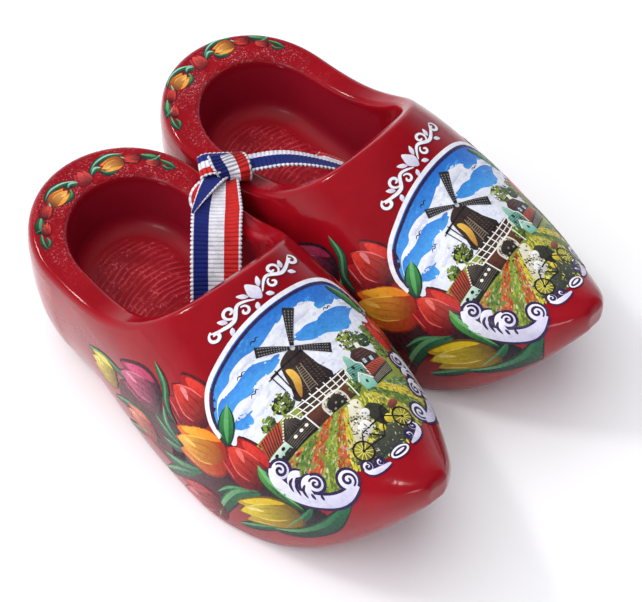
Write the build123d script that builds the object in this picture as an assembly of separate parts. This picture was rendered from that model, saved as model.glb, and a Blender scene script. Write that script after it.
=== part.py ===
from build123d import *
import os
from math import cos, radians, sin, tan

# A pair of small souvenir wooden clogs, tied together with one flat ribbon.
# Units are millimetres.  Toes point to -Y, heels to +Y, +Z is up, and the soles stand on Z = 0.
# Each clog is first made in its own frame: Y = -LENGTH / 2 at the toe tip, +LENGTH / 2 at the heel,
# and X = 0 on its centre line.  Both clogs of such a pair have the same symmetric shape.

# ---- driving dimensions -------------------------------------------------------------------------
LENGTH = 110.0            # toe tip to heel
BALL_HALF_WIDTH = 23.0    # half of the widest place, across the ball of the foot
HEEL_RADIUS = 20.8        # the heel end is half a circle in plan
INSTEP_HEIGHT = 43.0      # crest in front of the foot opening
SIDE_HEIGHT = 29.2        # lowest place of the rim, beside the ankle
HEEL_HEIGHT = 32.6        # rim at the back of the heel

# ---- outside of the block -----------------------------------------------------------------------
TOE_Y = -LENGTH / 2
HEEL_Y = LENGTH / 2
HEEL_AXIS_Y = HEEL_Y - HEEL_RADIUS
SHOULDER = 0.62           # fullness of the domed upper half; 0.552 would be an ellipse
FLANK = 0.25              # how soon the lower wall turns upright; smaller is a boxier wall
PLANING = 0.6             # the sole is left this much too deep, then planed flat at Z = 0
SOLE_FILLET = 1.2
NOSE_FILLET = 2.0
# Cross-sections from toe to heel: (y, half width, underside, top, sole width as a share of width,
# height of the widest line as a share of the section's height).
STATIONS = [
    (TOE_Y, 2.4, 24.8, 30.2, 0.60, 0.48),
    (TOE_Y + 2.4, 6.0, 21.0, 30.4, 0.62, 0.48),
    (TOE_Y + 7.0, 10.2, 14.4, 29.6, 0.68, 0.48),
    (TOE_Y + 13.5, 14.9, 7.4, 29.6, 0.78, 0.48),
    (TOE_Y + 23.0, 19.3, 1.6, 31.6, 0.87, 0.48),
    (TOE_Y + 38.0, BALL_HALF_WIDTH, -PLANING, 35.2, 0.93, 0.48),
    (TOE_Y + 49.0, 22.9, -PLANING, 40.2, 0.93, 0.48),
    (TOE_Y + 58.0, 22.3, -PLANING, INSTEP_HEIGHT, 0.91, 0.49),
    (TOE_Y + 72.0, 21.3, -PLANING, INSTEP_HEIGHT, 0.82, 0.54),
    (HEEL_AXIS_Y - 6.0, HEEL_RADIUS, -PLANING, INSTEP_HEIGHT, 0.70, 0.62),
    (HEEL_AXIS_Y, HEEL_RADIUS, -PLANING, INSTEP_HEIGHT, 0.69, 0.62),
]

# ---- saddle-shaped rim --------------------------------------------------------------------------
CREST_Y = -0.5            # the rim meets the instep here, on the centre line
SADDLE_Y = 24.0           # where the rim is lowest
RIM_FILLET = 1.6
SKY = 70.0                # above everything, for cutting tools

# ---- hollow for the foot ------------------------------------------------------------------------
OPENING_FRONT_Y = 2.6
OPENING_HALF_WIDTH = 15.2
OPENING_HEEL_RADIUS = 14.3
OPENING_HEEL_Y = 45.4     # back end of the opening
OPENING_CORNER = 8.0      # plan radius of the two front corners
WALL_DRAFT = 2.5          # degrees: the walls close in towards the footbed
FOOTBED_FILLET = 3.5
LIP_FILLET = 1.3
# Footbed along the centre line: (y, height), high under the heel and lowest under the instep.
FOOTBED = [(60.0, 17.6), (38.0, 16.4), (18.0, 12.4), (0.0, 10.6), (-22.0, 11.4), (-45.0, 16.0)]
# Toe hollow under the vamp: (y, half width, floor, roof).
TOE_HOLLOW = [
    (-38.0, 6.5, 15.0, 21.0),
    (-32.0, 11.0, 11.0, 24.5),
    (-20.0, 14.6, 9.0, 27.5),
    (-8.0, 15.4, 9.0, 31.5),
    (0.5, 15.2, 9.0, 36.5),
    (9.0, 14.6, 9.0, 37.5),
]

# ---- printed transfers, thin films on the lacquer ----------------------------------------------
FILM = 0.12
PRINT_FRONT_Y = -50.0     # the toe picture reaches almost to the tip ...
PRINT_CREST_Y = -3.0      # ... from just in front of the instep crest ...
PRINT_BACK_Y = 15.0       # ... and its tulips run back along the flanks
PRINT_LOW_Z = 5.0
PRINT_FLANK_Z = 24.0
HEEL_PRINT_Y = 29.0       # the heel garland starts here and goes round the back
HEEL_PRINT_MARGIN = 3.6

# ---- the pair, as it stands ---------------------------------------------------------------------
RIGHT_PLACE = (-23.2, -4.3)
LEFT_PLACE = (23.2, 4.3)
LEFT_TURN = 6.8           # degrees, toe outwards

# ---- ribbon -------------------------------------------------------------------------------------
RIBBON_WIDTH = 10.0
RIBBON_THICK = 0.7
KNOT_POINT = (0.0, 25.8)  # over the gap between the two rims
KNOT_LENGTH = 11.5
KNOT_WIDTH = 7.4
KNOT_HEIGHT = 5.4
KNOT_Z = 30.1             # underside of the knot, just clear of the rims
KNOT_FILLET = 1.8
KNOT_TURN = -34.0         # degrees: the wrapped band points across the left clog
# Each tail stays in one upright plane that starts at the knot; (distance, height) along it.
RIGHT_HEADING = -133.0
RIGHT_ASIDE = 1.8         # sideways from the knot's middle
RIGHT_ROUTE = [
    (4.4, 32.2), (10.5, 31.7), (16.5, 31.2), (22.0, 27.8),
    (26.0, 22.0), (30.0, 17.2), (35.0, 14.0), (40.5, 12.9),
]
LEFT_HEADING = -32.6
LEFT_ROUTE = [
    (7.1, 33.2), (12.5, 33.0), (18.0, 30.8), (23.5, 28.4),
    (28.5, 25.0), (32.0, 20.0), (34.5, 14.5),
]


def upright(y):
    """The upright plane across the clog at one place along it."""
    return Plane(origin=(0, y, 0), x_dir=(1, 0, 0), z_dir=(0, -1, 0))


def flank(half_width, underside, top, sole_share, widest_share):
    """One side of a cross-section: a swelling wall, then the domed top."""
    widest = underside + widest_share * (top - underside)
    turn = underside + FLANK * (widest - underside)
    rise = widest + SHOULDER * (top - widest)
    wall = Bezier((sole_share * half_width, underside), (half_width, turn), (half_width, widest))
    dome = Bezier((half_width, widest), (half_width, rise), (SHOULDER * half_width, top), (0, top))
    return [wall, dome]


def section(y, half_width, underside, top, sole_share, widest_share):
    """One closed cross-section of the block."""
    right = flank(half_width, underside, top, sole_share, widest_share)
    left = [mirror(edge, Plane.YZ) for edge in right]
    sole = Line((-sole_share * half_width, underside), (sole_share * half_width, underside))
    return upright(y) * make_face([sole] + right + left)


def half_section(y, half_width, underside, top, sole_share, widest_share):
    """Right half of a cross-section, to be turned round the heel."""
    middle = Line((0, top), (0, underside))
    sole = Line((0, underside), (sole_share * half_width, underside))
    right = flank(half_width, underside, top, sole_share, widest_share)
    return upright(y) * make_face([middle, sole] + right)


def block(grow=0.0):
    """The outside of the clog before the rim and the hollow are cut."""
    stations = []
    for y, half_width, underside, top, sole_share, widest_share in STATIONS:
        stations.append((y, half_width + grow, underside - grow, top + grow, sole_share, widest_share))
    front = loft([section(*station) for station in stations])
    heel = revolve(half_section(*stations[-1]), axis=Axis((0, HEEL_AXIS_Y, 0), (0, 0, 1)), revolution_arc=180)
    return front + heel


def across(outline, half_width=40.0):
    """A prism whose outline is drawn in Y and Z, running across the clog."""
    plane = Plane(origin=(-half_width, 0, 0), x_dir=(0, 1, 0), z_dir=(1, 0, 0))
    return extrude(plane * make_face(outline), amount=2 * half_width)


def saddle_curve(lift=0.0):
    """The rim seen from the side: steep at the instep, low at the ankle, up again to the heel."""
    run = SADDLE_Y - CREST_Y
    rise = INSTEP_HEIGHT - SIDE_HEIGHT
    points = []
    for share in (1.3, 1.0, 0.6, 0.25):
        points.append((SADDLE_Y - share * run, SIDE_HEIGHT + lift + share ** 2 * rise))
    points.append((SADDLE_Y + 3, SIDE_HEIGHT + lift))
    points.append(((SADDLE_Y + HEEL_Y) / 2, (0.55 * SIDE_HEIGHT + 0.45 * HEEL_HEIGHT) + lift))
    points.append((HEEL_Y - 5, HEEL_HEIGHT + lift))
    points.append((HEEL_Y + 5, HEEL_HEIGHT + lift))
    return Spline(points)


def above_saddle(lift=0.0):
    """Everything over the rim, from the crest back past the heel."""
    curve = saddle_curve(lift)
    start = curve @ 0
    end = curve @ 1
    lines = [Line((end.X, end.Y), (end.X, SKY)), Line((end.X, SKY), (start.X, SKY))]
    lines.append(Line((start.X, SKY), (start.X, start.Y)))
    return across([curve] + lines)


def opening_outline(margin=0.0):
    """Plan of the foot opening: rounded front corners, tapering sides, half-round heel."""
    half_width = OPENING_HALF_WIDTH + margin
    radius = OPENING_HEEL_RADIUS + margin
    front_y = OPENING_FRONT_Y - margin
    axis_y = OPENING_HEEL_Y - OPENING_HEEL_RADIUS
    side_r = Line((half_width, front_y), (radius, axis_y))
    side_l = Line((-radius, axis_y), (-half_width, front_y))
    heel = ThreePointArc((radius, axis_y), (0, axis_y + radius), (-radius, axis_y))
    front = Line((-half_width, front_y), (half_width, front_y))
    face = make_face([front, side_r, heel, side_l])
    corners = face.vertices().sort_by(Axis.Y)[:2]
    return fillet(corners, OPENING_CORNER)


def footbed_room():
    """All the space over the footbed."""
    bed = Spline(FOOTBED)
    first, last = FOOTBED[0], FOOTBED[-1]
    lines = [Line(last, (last[0], SKY)), Line((last[0], SKY), (first[0], SKY)), Line((first[0], SKY), first)]
    return across([bed] + lines)


def shaft():
    """The open part of the hollow, from the footbed up through the rim."""
    foot = Pos(0, 0, SIDE_HEIGHT) * opening_outline()
    solid = extrude(foot, amount=SKY - SIDE_HEIGHT) + extrude(foot, amount=-SIDE_HEIGHT, taper=WALL_DRAFT)
    solid = solid & footbed_room()
    bed = solid.faces().sort_by(Axis.Z)[0]
    return fillet(bed.edges(), FOOTBED_FILLET)


def toe_hollow():
    """The closed part of the hollow, under the vamp."""
    faces = []
    for y, half_width, floor, top in TOE_HOLLOW:
        corner = 0.42 * min(top - floor, 2 * half_width)
        faces.append(upright(y) * Pos(0, (floor + top) / 2) * RectangleRounded(2 * half_width, top - floor, corner))
    return loft(faces) & footbed_room()


def is_rim(face):
    """True for the saddle-shaped faces of the rim."""
    return face.normal_at().Z > 0.3 and face.center().Y > CREST_Y and face.center().Z > SIDE_HEIGHT - 1


def inside_opening(edge):
    """True for an edge that runs along the inner side of the rim."""
    limit = OPENING_HALF_WIDTH + 0.5
    ends = edge.vertices() + [Vertex(*edge.center())]
    return all(abs(end.X) < limit and OPENING_FRONT_Y - 0.5 < end.Y < OPENING_HEEL_Y + 0.5 for end in ends)


def clog():
    """One clog: a hollowed wooden block with a planed sole and a saddle-shaped rim."""
    body = block() - Pos(0, 0, -10) * Box(200, 200, 20) - above_saddle()
    seam = [edge for edge in body.faces().filter_by(is_rim).edges() if edge.geom_type != GeomType.LINE]
    body = fillet(seam, RIM_FILLET)
    sole = body.faces().sort_by(Axis.Z)[0]
    body = fillet(sole.edges(), SOLE_FILLET)
    nose = body.faces().sort_by(Axis.Y)[0]
    body = fillet(nose.edges(), NOSE_FILLET)
    body = body - shaft()
    lip = [edge for edge in body.faces().filter_by(is_rim).edges()
           if inside_opening(edge) and edge.geom_type != GeomType.LINE]
    body = fillet(lip, LIP_FILLET)
    return body - toe_hollow()


def toe_print():
    """The transfer on the vamp and both flanks: a film that lies on the block's outside."""
    low = Line((PRINT_FRONT_Y, PRINT_LOW_Z), (PRINT_BACK_Y, PRINT_LOW_Z))
    front = Line((PRINT_FRONT_Y, SKY), (PRINT_FRONT_Y, PRINT_LOW_Z))
    flank = Line((PRINT_BACK_Y, PRINT_LOW_Z), (PRINT_BACK_Y, PRINT_FLANK_Z))
    rise = Line((PRINT_BACK_Y, PRINT_FLANK_Z), (PRINT_CREST_Y, INSTEP_HEIGHT + 2))
    back = Line((PRINT_CREST_Y, INSTEP_HEIGHT + 2), (PRINT_CREST_Y, SKY))
    close = Line((PRINT_CREST_Y, SKY), (PRINT_FRONT_Y, SKY))
    return (block(FILM) & across([front, low, flank, rise, back, close])) - block()


def heel_print():
    """The garland's transfer: a film on the broad part of the rim, round the heel."""
    film = above_saddle() - above_saddle(FILM)
    span = HEEL_Y - HEEL_PRINT_Y
    radius = HEEL_RADIUS - HEEL_PRINT_MARGIN
    plan = Pos(0, HEEL_AXIS_Y) * Circle(radius) + Pos(0, HEEL_AXIS_Y - 20) * Rectangle(2 * radius, 40)
    plan = plan & (Pos(0, HEEL_PRINT_Y + span / 2) * Rectangle(60, span))
    plan = plan - opening_outline(LIP_FILLET + 0.3)
    return film & extrude(plan, amount=SKY)


def right_place(shape):
    """Stand something of one clog where the right clog stands."""
    return Pos(*RIGHT_PLACE) * shape


def left_place(shape):
    """Stand something of one clog where the left clog stands."""
    return Pos(*LEFT_PLACE) * Rot(0, 0, LEFT_TURN) * shape


def knot():
    """The ribbon's wrapped knot, lying over the gap between the two rims."""
    core = Box(KNOT_LENGTH, KNOT_WIDTH, KNOT_HEIGHT)
    core = fillet(core.edges(), KNOT_FILLET)
    return Pos(*KNOT_POINT, KNOT_Z + KNOT_HEIGHT / 2) * Rot(0, 0, KNOT_TURN) * core


def ribbon_tail(route, heading, aside=0.0):
    """A flat tail of ribbon; its route is drawn as (distance from the knot, height)."""
    along = Vector(cos(radians(heading)), sin(radians(heading)), 0)
    side = Vector(along.Y, -along.X, 0)
    plane = Plane(origin=Vector(*KNOT_POINT, 0) + aside * side, x_dir=along, z_dir=side)
    radii = []
    for before, corner, after in zip(route, route[1:], route[2:]):
        run_in = Vector(*corner) - Vector(*before)
        run_out = Vector(*after) - Vector(*corner)
        shorter = min(run_in.length, run_out.length)
        radii.append(0.45 * shorter / tan(radians(run_in.get_angle(run_out)) / 2))
    print("ribbon bends:", [round(radius, 1) for radius in radii])
    path = plane * FilletPolyline(*route, radius=radii)
    start = Plane(origin=path @ 0, z_dir=path % 0, x_dir=plane.z_dir)
    tail = sweep(start * Rectangle(RIBBON_WIDTH, RIBBON_THICK), path=path)
    print("ribbon tail:", round(path.length, 1), "long, volume", round(tail.volume, 1),
          "of", round(path.length * RIBBON_WIDTH * RIBBON_THICK, 1))
    return tail


wooden_clog = clog()
picture = toe_print()
garland = heel_print()
parts = {
    "right_clog": right_place(wooden_clog),
    "right_toe_print": right_place(picture),
    "right_heel_print": right_place(garland),
    "left_clog": left_place(wooden_clog),
    "left_toe_print": left_place(picture),
    "left_heel_print": left_place(garland),
    "ribbon_knot": knot(),
    "ribbon_right_tail": ribbon_tail(RIGHT_ROUTE, RIGHT_HEADING, RIGHT_ASIDE),
    "ribbon_left_tail": ribbon_tail(LEFT_ROUTE, LEFT_HEADING),
}

# The origin is the middle of the pair's footprint, on the ground.
pair = Compound([parts["right_clog"], parts["left_clog"]]).bounding_box()
centre = Pos(-pair.center().X, -pair.center().Y, 0)
print("shift to the origin:", [round(value, 3) for value in (-pair.center().X, -pair.center().Y)])
os.makedirs("parts", exist_ok=True)
for name, shape in parts.items():
    placed = centre * shape
    print(name, placed.is_valid, len(placed.solids()), round(placed.volume, 1))
    export_step(placed, f"parts/{name}.step")
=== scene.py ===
import bpy
import random
from math import atan2, copysign, cos, hypot, pi, radians, sin
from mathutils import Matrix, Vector, noise
from mathutils.bvhtree import BVHTree
from mathutils.geometry import delaunay_2d_cdt


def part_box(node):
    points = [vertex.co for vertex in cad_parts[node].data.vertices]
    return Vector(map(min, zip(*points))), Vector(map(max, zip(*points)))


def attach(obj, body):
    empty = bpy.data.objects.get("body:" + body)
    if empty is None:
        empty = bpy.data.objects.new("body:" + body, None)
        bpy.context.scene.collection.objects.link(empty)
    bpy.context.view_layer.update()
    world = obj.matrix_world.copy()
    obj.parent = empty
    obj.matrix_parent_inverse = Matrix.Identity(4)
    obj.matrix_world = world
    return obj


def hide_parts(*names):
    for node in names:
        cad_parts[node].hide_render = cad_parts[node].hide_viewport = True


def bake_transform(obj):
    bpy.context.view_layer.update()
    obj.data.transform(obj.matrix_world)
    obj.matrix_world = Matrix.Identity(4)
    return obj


# Looks of the tied pair of clogs.  Sizes are written in millimetres and turned into metres by MM.
# A clog's own frame has its toe tip at y = -55, its heel at y = 55, and x = 0 on its centre line.

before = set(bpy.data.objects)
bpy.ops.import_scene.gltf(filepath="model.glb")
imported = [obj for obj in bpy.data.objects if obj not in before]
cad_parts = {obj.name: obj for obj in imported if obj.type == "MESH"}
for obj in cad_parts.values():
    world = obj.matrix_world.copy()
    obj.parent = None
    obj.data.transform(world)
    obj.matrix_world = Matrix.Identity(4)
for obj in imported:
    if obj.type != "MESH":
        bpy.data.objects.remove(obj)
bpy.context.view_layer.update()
MM = 0.001
CAMERA_PLACE = Vector((-206.4, -222.4, 359.9))
CAMERA_AIM = Vector((0.4491, 0.4804, -0.7533))
CAMERA_ROLL = radians(0.28)
LENS = 124.55
LEFT_STEP = (46.4, 8.6)   # from the right clog's middle to the left clog's
LEFT_TURN = radians(6.8)
WRAP_HEIGHT = 14          # the toe picture is wrapped round an axis at this height ...
WRAP_RADIUS = 20          # ... and its width is measured on a circle of this radius
FAR = 70                  # rays towards the wood start this far out
FILM = 0.045              # the ink's lowest layer over the lacquer ...
LAYER = 0.02              # ... and the step from one layer to the next
RIM_EDGE = 28.6           # the rim's top ends at this height beside its middle and the wall begins ...
RIM_SLOPE = 0.12          # ... and it rises this much for each millimetre towards the heel's back
RIM_MIDDLE = 24
RIM_CENTRE = 30           # places beyond the rim are drawn in towards this y
SOLE_EDGE = 1.5           # at this height the wall ends and the sole begins
CORE = 12                 # a height well inside the wood


def new_object(name, data):
    made = bpy.data.objects.new(name, data)
    bpy.context.collection.objects.link(made)
    return made


def make_camera():
    """A long lens looking down over the right clog's toe."""
    camera = new_object("camera", bpy.data.cameras.new("camera"))
    camera.data.sensor_width = 36
    camera.data.lens = LENS
    camera.data.clip_start = 0.01
    turn = CAMERA_AIM.to_track_quat("-Z", "Y").to_matrix().to_4x4()
    turn.translation = CAMERA_PLACE * MM
    camera.matrix_world = turn
    camera.rotation_euler.rotate_axis("Z", CAMERA_ROLL)
    bpy.context.scene.camera = camera


make_camera()


# ---- colours and node materials -----------------------------------------------------------------

def ink(colour):
    """A linear colour from its usual hexadecimal name; one that is linear already stays as it is."""
    if not isinstance(colour, str):
        return colour
    values = [int(colour[place:place + 2], 16) / 255 for place in (0, 2, 4)]
    return tuple(value / 12.92 if value < 0.04045 else ((value + 0.055) / 1.055) ** 2.4 for value in values)


def within(share):
    return max(0.0, min(1.0, share))


def mixed(first, second, share):
    return tuple(a + (b - a) * share for a, b in zip(ink(first), ink(second)))


class Shader:
    """A node material built up from its Principled shader."""

    def __init__(self, name):
        self.material = bpy.data.materials.new(name)
        self.material.use_nodes = True
        self.tree = self.material.node_tree
        self.place = self.node("TexCoord").outputs["Object"]

    def plug(self, node, inputs):
        """Set or link inputs by their names, or by their numbers as in _0."""
        for name, value in inputs.items():
            key = int(name[1:]) if name[0] == "_" else name.replace("_", " ")
            if isinstance(value, bpy.types.NodeSocket):
                self.tree.links.new(value, node.inputs[key])
            else:
                node.inputs[key].default_value = value

    def surface(self, **inputs):
        """Set or link the Principled shader's inputs, which finishes the material."""
        self.plug(self.tree.nodes["Principled BSDF"], inputs)
        return self.material

    def node(self, kind, settings=None, **inputs):
        made = self.tree.nodes.new(f"ShaderNode{kind}")
        for name, value in (settings or {}).items():
            setattr(made, name, value)
        self.plug(made, inputs)
        return made

    def math(self, operation, *values):
        inputs = {f"_{place}": value for place, value in enumerate(values)}
        return self.node("Math", {"operation": operation}, **inputs).outputs[0]

    def product(self, first, *others):
        for other in others:
            first = self.math("MULTIPLY", first, other)
        return first

    def mix(self, share, *colours):
        first, second = (colour if isinstance(colour, bpy.types.NodeSocket) else (*ink(colour), 1.0)
                         for colour in colours)
        return self.node("Mix", {"data_type": "RGBA"}, _0=share, _6=first, _7=second).outputs[2]

    def noise(self, place, scale, detail=2.0, roughness=0.5):
        made = self.node("TexNoise", Vector=place, Scale=scale, Detail=detail, Roughness=roughness)
        return made.outputs["Fac"]

    def ramp(self, value, low, high):
        return self.node("MapRange", Value=value, From_Min=low, From_Max=high).outputs[0]

    def bump(self, height, distance, strength=1.0, **under):
        return self.node("Bump", Height=height, Distance=distance, Strength=strength, **under).outputs[0]

    def drawn(self, noises, low, high, share, deep, pale=0.0):
        """The mesh's own colours, mixed towards a deep one where two noises add up to little."""
        own = self.node("Attribute", {"attribute_name": "ink"}).outputs["Color"]
        deeper = self.mix(share, own, deep)
        if pale:
            own = self.mix(pale, own, (1.0, 1.0, 1.0))
        return self.mix(self.ramp(self.math("ADD", *noises), low, high), deeper, own)


def lacquer(side):
    """Thick red lacquer on carved wood; duller inside the shoe."""
    made = Shader(f"red_lacquer_{side}")
    origin, turn = PLACES[side]
    moved = made.node("VectorMath", {"operation": "SUBTRACT"}, _0=made.place, _1=origin).outputs[0]
    own = made.node("VectorRotate", {"rotation_type": "Z_AXIS"}, Vector=moved, Angle=-turn).outputs[0]
    axes = made.node("SeparateXYZ", Vector=own).outputs
    normal = made.node("TexCoord").outputs["Normal"]
    facing = made.node("SeparateXYZ", Vector=normal).outputs["Z"]
    # Inside: a rounded box of the opening's plan, below the rim.
    across = made.math("DIVIDE", axes["X"], 0.0151)
    ahead = made.math("DIVIDE", made.math("SUBTRACT", axes["Y"], 0.0225), 0.0240)
    cubes = [made.math("POWER", made.math("ABSOLUTE", way), 3.0) for way in (across, ahead)]
    spread = made.math("ADD", *cubes)
    from_middle = made.math("ABSOLUTE", made.math("SUBTRACT", axes["Y"], RIM_MIDDLE * MM))
    depth = made.math("SUBTRACT", made.math("MULTIPLY", from_middle, RIM_SLOPE), axes["Z"])
    inside = made.product(made.ramp(spread, 1.05, 0.99), made.ramp(depth, -0.0285, -0.0265))
    bed = made.product(inside, made.ramp(facing, 0.45, 0.85))
    # Round the heel the inner part of the rim carries a dry, speckled coat: its specks are bumps, and the
    # pale pink specks in its colour are painted glints on them.
    speck_and_glint = made.noise(own, 2300, 2, 0.6)
    dry_and_glints = made.product(made.ramp(axes["Y"], 0.026, 0.036), made.ramp(axes["Z"], 0.0285, 0.030),
                       made.ramp(made.noise(own, 170), 0.36, 0.60), made.ramp(facing, 0.35, 0.75),
                       made.ramp(spread, 2.1, 1.5))
    skin = made.bump(made.noise(own, 95, 2, 0.4), 0.0006, 0.35)
    skin = made.bump(made.noise(own, 900, 1), 0.00004, 0.5, Normal=skin)
    skin = made.bump(made.product(speck_and_glint, dry_and_glints), 0.0003, Normal=skin)
    cloud = made.noise(own, 60, 4, 0.55)
    outer = made.mix(made.ramp(cloud, 0.3, 0.75), "980c19", "7c0816")
    # painted highlight: pale pink specks on the dry coat stand for glints on its bumps
    outer = made.mix(made.product(dry_and_glints, made.ramp(speck_and_glint, 0.56, 0.70)), outer, "e07f8a")
    inner = made.mix(bed, "8c1024", "9c0f1e")
    rough = 0.12
    for part, more in ((inside, 0.26), (bed, -0.12), (dry_and_glints, 0.12), (cloud, 0.06)):
        rough = made.math("MULTIPLY_ADD", part, more, rough)
    return made.surface(Base_Color=made.mix(inside, outer, inner), Roughness=rough, Normal=skin,
                        Specular_IOR_Level=0.3, Coat_Weight=0.15, Coat_Roughness=0.05)


def carved_lacquer():
    """The same lacquer, thin over the footbed's cuts: its colour comes with the shapes, with painted
    highlights on the ridges, and pale pink dots here are painted glints.
    """
    made = Shader("carved_lacquer")
    grain = made.noise(made.place, 1500, 3, 0.7)
    patch = made.noise(made.place, 260, 3, 0.6)
    colour = made.drawn((grain, patch), 0.7, 1.2, 0.35, (0.05, 0.0, 0.005))
    # painted highlight: pale pink dots stand for glints between the cuts
    glint_dots = made.product(made.ramp(grain, 0.58, 0.68), made.ramp(patch, 0.42, 0.60))
    return made.surface(Base_Color=made.mix(glint_dots, colour, "d8606c"), Normal=made.bump(grain, 0.00015),
                        Roughness=made.math("MULTIPLY_ADD", patch, 0.2, 0.12),
                        Specular_IOR_Level=0.4, Coat_Weight=0.2, Coat_Roughness=0.05)


def printed():
    """Screen-printed ink under the varnish: its colour comes with the shapes."""
    made = Shader("transfer_print")
    mottle = made.noise(made.place, 1100, 3, 0.6)
    broad = made.noise(made.place, 260)
    return made.surface(Base_Color=made.drawn((mottle, broad), 0.55, 1.5, 0.3, (0.02, 0.01, 0.03), 0.02),
                        Roughness=made.math("MULTIPLY_ADD", mottle, 0.12, 0.22),
                        Normal=made.bump(broad, 0.00012, 0.25),
                        Specular_IOR_Level=0.15, Coat_Weight=0.06, Coat_Roughness=0.06)


def yarn():
    """Dyed polyester yarn: ribs and the painted shade in their grooves come from the mesh, the fine twist
    from here.
    """
    made = Shader("woven_ribbon")
    twist = made.noise(made.place, 4200, 2, 0.6)
    fade = made.noise(made.place, 420)
    return made.surface(Base_Color=made.drawn((twist, fade), 0.6, 1.25, 0.42, (0.0, 0.0, 0.01)),
                        Normal=made.bump(twist, 0.00008, 0.7), Roughness=0.62, Sheen_Weight=0.12,
                        Sheen_Roughness=0.4, Specular_IOR_Level=0.25)


def table_top():
    """Matt white card with the faintest clouds."""
    made = Shader("pale_table")
    return made.surface(Base_Color=made.mix(made.noise(made.place, 3), "fbfbfd", "f6f7fb"),
                        Roughness=0.45, Specular_IOR_Level=0.4)


# ---- where things lie ---------------------------------------------------------------------------

low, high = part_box("right_clog")
right_origin = Vector(((low.x + high.x) / 2, (low.y + high.y) / 2, 0))
left_origin = right_origin + Vector((*LEFT_STEP, 0)) * MM
PLACES = {"right": (right_origin, 0.0), "left": (left_origin, LEFT_TURN)}


class Skin:
    """The outside of one clog, for laying flat pictures on it."""

    def __init__(self, side):
        self.side = side
        self.origin, self.turn = PLACES[side]
        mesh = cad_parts[f"{side}_clog"].data
        corners = [vertex.co.copy() for vertex in mesh.vertices]
        self.tree = BVHTree.FromPolygons(corners, [tuple(face.vertices) for face in mesh.polygons])

    def row(self, x, y, z):
        """A point of the clog's own frame, in metres in the shared frame."""
        c, s = cos(self.turn), sin(self.turn)
        return self.origin + Vector((c * x - s * y, s * x + c * y, z)) * MM

    def cast(self, start, end, lift):
        """Where a ray meets the clog, lifted off its surface; its end if it meets nothing."""
        place, normal, _, _ = self.tree.ray_cast(start, (end - start).normalized())
        return end if place is None else place + normal * lift * MM

    def vamp(self, u, v, lift):
        """A point of the toe picture, u round the clog from its crest, v along it: never under the sole."""
        for _ in range(8):
            angle = u / WRAP_RADIUS
            start = self.row(FAR * sin(angle), v, WRAP_HEIGHT + FAR * cos(angle))
            place = self.cast(start, self.row(0, v, WRAP_HEIGHT), lift)
            if place.z > SOLE_EDGE * MM:
                break
            u *= 0.975
        return place

    def rim(self, x, y, lift):
        """A point of the rim's broad top: below (x, y), or as near to it as the rim reaches."""
        for _ in range(20):
            place = self.cast(self.row(x, y, FAR), self.row(x, y, 0), lift)
            if place.z > (RIM_EDGE + RIM_SLOPE * (y - RIM_MIDDLE)) * MM:
                break
            x, y = x * 0.99, RIM_CENTRE + (y - RIM_CENTRE) * 0.99
        return place


# ---- flat shapes --------------------------------------------------------------------------------

def curve(points, closed=False, steps=6):
    """A smooth line through a few points."""
    count = len(points)
    result = []
    for place in range(count if closed else count - 1):
        near = range(place - 1, place + 3)
        near = [points[index % count if closed else min(max(index, 0), count - 1)] for index in near]
        for step in range(steps):
            t = step / steps
            weights = (-t + 2 * t * t - t ** 3, 2 - 5 * t * t + 3 * t ** 3,
                       t + 4 * t * t - 3 * t ** 3, t ** 3 - t * t)
            result.append(tuple(sum(w * p[axis] for w, p in zip(weights, near)) / 2 for axis in (0, 1)))
    return result if closed else result + [points[-1]]


def oval(x, y, wide, tall, turn=0.0, count=6):
    c, s = cos(turn), sin(turn)
    rim = [(wide * cos(2 * pi * k / count), tall * sin(2 * pi * k / count)) for k in range(count)]
    return [(x + c * a - s * b, y + s * a + c * b) for a, b in rim]


def spiral(x, y, radius, start, turns, count=24, inner=0.2):
    """A scroll's curl, from its outside inwards; it starts at an angle in degrees."""
    result = []
    for step in range(count + 1):
        share = step / count
        angle = radians(start) + 2 * pi * turns * share
        size = radius * (1 - (1 - inner) * share)
        result.append((x + size * cos(angle), y + size * sin(angle)))
    return result


def inside(point, outline):
    x, y = point
    hit = False
    for (ax, ay), (bx, by) in zip(outline, outline[1:] + outline[:1]):
        if (ay > y) != (by > y) and x < ax + (bx - ax) * (y - ay) / (by - ay):
            hit = not hit
    return hit


def divided(path, gap):
    """The same line with no long steps."""
    result = []
    for (ax, ay), (bx, by) in zip(path, path[1:]):
        parts = max(1, int(hypot(bx - ax, by - ay) / gap))
        result += [(ax + (bx - ax) * k / parts, ay + (by - ay) * k / parts) for k in range(parts)]
    return result + [path[-1]]


def along(base, tip, width, shape):
    """Place a shape drawn as (across, up) shares between a base and a tip."""
    dx, dy = tip[0] - base[0], tip[1] - base[1]
    size = hypot(dx, dy)
    ux, uy = dx / size, dy / size
    return [(base[0] + dx * up + uy * width * side, base[1] + dy * up - ux * width * side)
            for side, up in shape]


def inked_mesh(name, corners, faces, colours, material, domain="POINT"):
    """A smooth mesh that keeps a colour with each of its points or of its faces' corners."""
    mesh = bpy.data.meshes.new(name)
    mesh.from_pydata(corners, [], faces)
    attribute = mesh.color_attributes.new("ink", "FLOAT_COLOR", domain)
    for place, colour in enumerate(colours):
        attribute.data[place].color = (*colour, 1.0)
    mesh.validate()
    mesh.shade_smooth()
    mesh.materials.append(material)
    return new_object(name, mesh)


def same(points):
    return list(points)


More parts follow.
